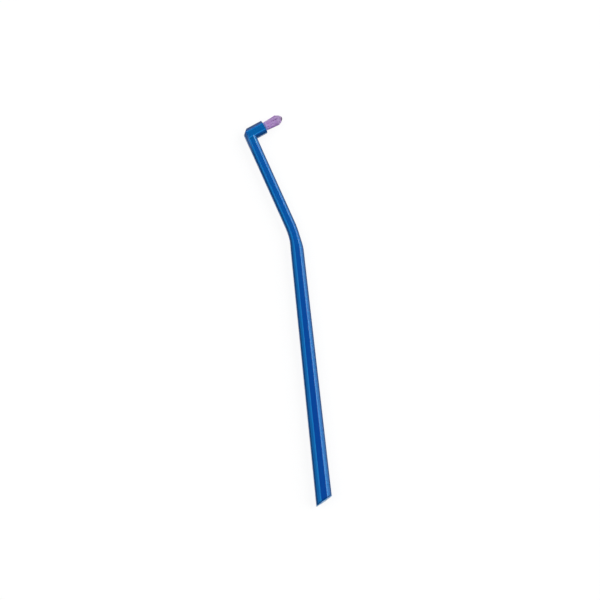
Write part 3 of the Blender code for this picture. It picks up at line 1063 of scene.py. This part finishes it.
def from_parting_line(n, place):
    """Height above or below the handle's middle, where its mould parts."""
    return n.math("ABSOLUTE", n.math("SUBTRACT", n.axis(place, "Z"), MIDDLE_HEIGHT))


def uneven(n, pattern, roughness, shares):
    """Roughness that follows a noise between two shares of the piece's own."""
    low, high = shares
    return n.ramp(pattern, *NOISE_SPREAD, roughness * low, roughness * high)


def wire_surface(n, tint, roughness, relief, strength, relief_depth, **values):
    """Wires colour, roughness and a fine relief to one shader, and the shader to the output."""
    bump = n.add("ShaderNodeBump", Height=relief, Strength=strength, Distance=relief_depth)
    normal = bump.outputs["Normal"]
    shader = n.add(
        "ShaderNodeBsdfPrincipled", Base_Color=tint, Roughness=roughness, Normal=normal, **values
    )
    n.add("ShaderNodeOutputMaterial", Surface=shader.outputs["BSDF"])


def plastic_material(look, marks):
    """Polished, slightly translucent blue moulding, its blue painted with light and shade, with fine
    handling marks and a parting line.
    """
    material = bpy.data.materials.new("blue_plastic_polished")
    n = Nodes(material)
    place = n.place()
    scratches = n.ramp(n.noise(n.stretched(SCRATCH_STRETCH)), *SCRATCH_SPREAD)
    haze = n.noise(place, scale=900.0, detail=4.0, rough=0.6)
    peel = n.noise(place, scale=2600.0)
    seam = n.fade(from_parting_line(n, place), *SEAM_REACH)
    hazy = uneven(n, haze, look.roughness, HAZE_SHARES)
    roughness = n.math("ADD", hazy, n.product(scratches, SCRATCH_ROUGHNESS))
    skin = n.math("SUBTRACT", n.product(peel, PEEL_HEIGHT), n.product(scratches, SCRATCH_DEPTH))
    wire_surface(
        n,
        PlasticTint(n, look, marks).wired(),
        roughness,
        n.math("ADD", skin, n.product(seam, SEAM_HEIGHT)),
        strength=0.35,
        relief_depth=0.000004,
        IOR=1.47,
        Subsurface_Weight=look.glow,
        Subsurface_Radius=(0.15, 0.5, 1.0),
        Subsurface_Scale=0.0004,
    )
    return material


def filament_tint(n, look, face, outwards):
    """Two purples streaked along the bundle, with painted shade on a flank, at the edges and in a
    streak, the handle's blue painted in as reflection at the root, greyer at the cuts, and painted shade
    at the tip.
    """
    place = n.place()
    tone = n.add("ShaderNodeAttribute", attribute_name="tone").outputs["Fac"]
    below = n.add("ShaderNodeAttribute", attribute_name="below_tip").outputs["Fac"]
    grain = n.math("SUBTRACT", n.noise(place, scale=1400.0), NOISE_MIDDLE)
    streak = n.math("ADD", tone, n.product(grain, TONE_GRAIN), clamp=True)
    tint = n.blend(streak, look.body_colour, look.shade_colour)
    tint = n.blend(n.ramp(tone, *DARK_TONES), tint, look.tip_shade_colour)
    above = n.product(n.plane_depth(place, face, outwards), -1.0)
    tint = n.blend(n.fade(above, *ROOT_HEIGHTS, ROOT_AND_CUT_STRENGTH), tint, look.root_reflection_colour)
    tint = n.blend(n.fade(below, *CUT_DEPTHS, ROOT_AND_CUT_STRENGTH), tint, look.cut_colour)
    # A spot of painted shade beside the tip
    spot = face + outwards * (look.tip_height - SPOT_BELOW_TIP)
    spot += (outwards.cross(UP) + UP) * SPOT_ASIDE
    return n.blend(n.nearness(place, spot, *SPOT_REACH), tint, look.tip_shade_colour)


def filament_material(look, face, outwards):
    """Satin drawn filament, a little translucent."""
    material = bpy.data.materials.new("lilac_filament_satin")
    n = Nodes(material)
    drawn = n.noise(n.place(), scale=9000.0)
    wire_surface(
        n,
        filament_tint(n, look, face, outwards),
        uneven(n, drawn, look.roughness, DRAWN_SHARES),
        drawn,
        strength=0.2,
        relief_depth=0.000003,
        IOR=1.53,
        Subsurface_Weight=0.35,
        Subsurface_Radius=(1.0, 0.6, 1.0),
        Subsurface_Scale=0.0002,
    )
    return material


def strip_material(look):
    """Rolled metal strip: fine lines along its length and duller sheared streaks."""
    material = bpy.data.materials.new("anchor_metal_rolled")
    n = Nodes(material)
    rolled = n.noise(n.stretched(ROLLED_STRETCH), detail=3.0)
    stain = n.noise(n.place(), scale=2500.0, detail=3.0)
    wire_surface(
        n,
        n.blend(n.ramp(stain, *STAIN_SPREAD), look.metal_colour, look.sheared_colour),
        uneven(n, rolled, look.roughness, ROLLED_SHARES),
        rolled,
        strength=0.4,
        relief_depth=0.000004,
        Metallic=1.0,
    )
    return material


def floor_material(stage):
    """Matt white floor. What the camera, a gloss or a clear piece sees of it is lifted to white."""
    material = bpy.data.materials.new("white_floor")
    n = Nodes(material)
    path = n.add("ShaderNodeLightPath")
    seen = path.outputs["Is Camera Ray"]
    mirrored = n.larger(path.outputs["Is Glossy Ray"], path.outputs["Is Transmission Ray"])
    grain = n.noise(n.place(), scale=35.0, detail=3.0)
    dull_white = [stage.floor_white * FLOOR_DULL_SHARE] * 3
    white = n.blend(grain, dull_white, [stage.floor_white] * 3)
    surface = n.add("ShaderNodeBsdfDiffuse", Color=n.blend(seen, white, [stage.floor_shade] * 3))
    to_camera = n.product(seen, stage.floor_glow)
    strength = n.math("ADD", to_camera, n.product(mirrored, stage.mirror_glow))
    lift = n.add("ShaderNodeEmission", Strength=strength)
    both = n.add("ShaderNodeAddShader")
    n.put(both.inputs[0], surface.outputs["BSDF"])
    n.put(both.inputs[1], lift.outputs["Emission"])
    n.add("ShaderNodeOutputMaterial", Surface=both.outputs["Shader"])
    return material


def build_world(stage):
    """Dim surroundings, a little lighter at the horizon than overhead."""
    world = bpy.data.worlds.new("studio")
    bpy.context.scene.world = world
    n = Nodes(world)
    place = n.add("ShaderNodeTexCoord").outputs["Generated"]
    overhead = n.ramp(n.math("ABSOLUTE", n.axis(place, "Z")), *HORIZON_HEIGHTS)
    tint = n.blend(overhead, stage.horizon, stage.overhead)
    background = n.add("ShaderNodeBackground", Color=tint)
    n.add("ShaderNodeOutputWorld", Surface=background.outputs["Background"])


def build_floor(stage):
    bm = bmesh.new()
    bmesh.ops.create_grid(
        bm, x_segments=FLOOR_CELLS, y_segments=FLOOR_CELLS, size=stage.floor_side / 2
    )
    floor = new_object("floor", bm)
    floor.data.transform(Matrix.Translation(UP * (CAD_BOX[0].z - FLOOR_GAP)))
    floor.data.materials.append(floor_material(stage))


def add_softbox(stage, name, power, way, mirrored):
    """A large soft light that faces the brush, and that a gloss may or may not mirror."""
    data = bpy.data.lights.new(name, "AREA")
    data.shape = "RECTANGLE"
    data.size = stage.softbox_width
    data.size_y = stage.softbox_height
    data.energy = power
    lamp = add_object(name, data)
    lamp.visible_camera = False
    lamp.visible_glossy = mirrored
    lamp.rotation_euler = way.to_track_quat("Z", "Y").to_euler()
    lamp.location = way.normalized() * stage.softbox_distance


def image_axes(stage):
    """Directions of the image's right, the image's top and the camera, seen from the brush."""
    right = Vector((math.cos(stage.turn), -math.sin(stage.turn), 0.0))
    top = Vector((math.sin(stage.turn), math.cos(stage.turn), 0.0))
    side = math.sin(stage.side_tilt)
    back = math.sin(stage.butt_tilt)
    camera = UP * math.sqrt(1.0 - side * side - back * back) - right * side - top * back
    right = top.cross(camera).normalized()
    return right, camera.cross(right).normalized(), camera


def build_camera(stage, corner):
    """Puts the bend's corner on its pixel, at the photo's scale and viewing angle."""
    right, top, towards = image_axes(stage)
    data = bpy.data.cameras.new("camera")
    data.lens = stage.lens
    data.clip_start = VIEW_START
    data.clip_end = VIEW_END
    distance = stage.lens / data.sensor_width * IMAGE_PIXELS * stage.pixel_size
    half = IMAGE_PIXELS / 2
    target = corner - right * ((BEND_PIXEL[0] - half) * stage.pixel_size)
    target -= top * ((half - BEND_PIXEL[1]) * stage.pixel_size)
    camera = add_object("camera", data)
    axes = Matrix((right, top, towards)).transposed().to_4x4()
    camera.matrix_world = Matrix.Translation(target + towards * distance) @ axes
    bpy.context.scene.camera = camera


# The panel's groups of values, by their names on the scene, in the order of the steps
GROUPS = {
    "brush_handle": HandleSettings,
    "brush_tuft": TuftSettings,
    "brush_anchor": AnchorSettings,
    "brush_stage": StageSettings,
}


def settings():
    """The values that the scene holds now, group by group."""
    return [getattr(bpy.context.scene, name) for name in GROUPS]


class TUFTBRUSH_OT_handle(bpy.types.Operator):
    """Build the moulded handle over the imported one"""

    bl_idname = "tuftbrush.handle"
    bl_label = "Moulded handle"

    def execute(self, context):
        handle, tuft, _, _ = settings()
        obj = build_handle(handle, tuft)
        obj.data.materials.clear()
        obj.data.materials.append(plastic_material(handle, HandleMarks(handle, tuft)))
        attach(obj, BODY)
        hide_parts("handle")
        return {"FINISHED"}


class TUFTBRUSH_OT_tuft(bpy.types.Operator):
    """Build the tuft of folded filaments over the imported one"""

    bl_idname = "tuftbrush.tuft"
    bl_label = "Filament tuft"

    def execute(self, context):
        handle, tuft, _, _ = settings()
        obj = build_tuft(handle, tuft)
        face = head_place(handle, tuft).translation
        obj.data.materials.append(filament_material(tuft, face, direction(head_lean(handle))))
        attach(obj, BODY)
        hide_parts("tuft")
        return {"FINISHED"}


class TUFTBRUSH_OT_anchor(bpy.types.Operator):
    """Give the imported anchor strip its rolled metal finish"""

    bl_idname = "tuftbrush.anchor"
    bl_label = "Anchor strip finish"

    def execute(self, context):
        _, _, anchor, _ = settings()
        material = strip_material(anchor)
        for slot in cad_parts["anchor_strip"].material_slots:
            slot.material = material
        return {"FINISHED"}


class TUFTBRUSH_OT_stage(bpy.types.Operator):
    """Set up the floor, the lights and the camera"""

    bl_idname = "tuftbrush.stage"
    bl_label = "Stage"

    def execute(self, context):
        handle, tuft, _, stage = settings()
        scene = context.scene
        scene.view_settings.view_transform = "Standard"
        build_world(stage)
        build_floor(stage)
        add_softbox(stage, "right_softbox", stage.key_light, RIGHT_LIGHT_WAY, mirrored=True)
        add_softbox(stage, "left_softbox", stage.fill_light, LEFT_LIGHT_WAY, mirrored=False)
        build_camera(stage, bend_corner(handle, tuft))
        return {"FINISHED"}


STEPS = (TUFTBRUSH_OT_handle, TUFTBRUSH_OT_tuft, TUFTBRUSH_OT_anchor, TUFTBRUSH_OT_stage)


class TUFTBRUSH_PT_panel(bpy.types.Panel):
    """Sizes, colours and steps of the brush"""

    bl_idname = "TUFTBRUSH_PT_panel"
    bl_label = "Single Tuft Toothbrush"
    bl_space_type = "VIEW_3D"
    bl_region_type = "UI"
    bl_category = "Brush"

    def draw(self, context):
        layout = self.layout
        for group, step in zip(settings(), STEPS):
            box = layout.box()
            box.label(text=step.bl_label)
            for name in group.__annotations__:
                box.prop(group, name)
            box.operator(step.bl_idname)


CLASSES = (*GROUPS.values(), *STEPS, TUFTBRUSH_PT_panel)


def register():
    for cls in CLASSES:
        bpy.utils.register_class(cls)
    for name, group in GROUPS.items():
        setattr(bpy.types.Scene, name, PointerProperty(type=group))


def unregister():
    for name in GROUPS:
        delattr(bpy.types.Scene, name)
    for cls in reversed(CLASSES):
        bpy.utils.unregister_class(cls)


def main():
    register()
    bpy.ops.tuftbrush.handle()
    bpy.ops.tuftbrush.tuft()
    bpy.ops.tuftbrush.anchor()
    bpy.ops.tuftbrush.stage()


if __name__ == "__main__":
    main()
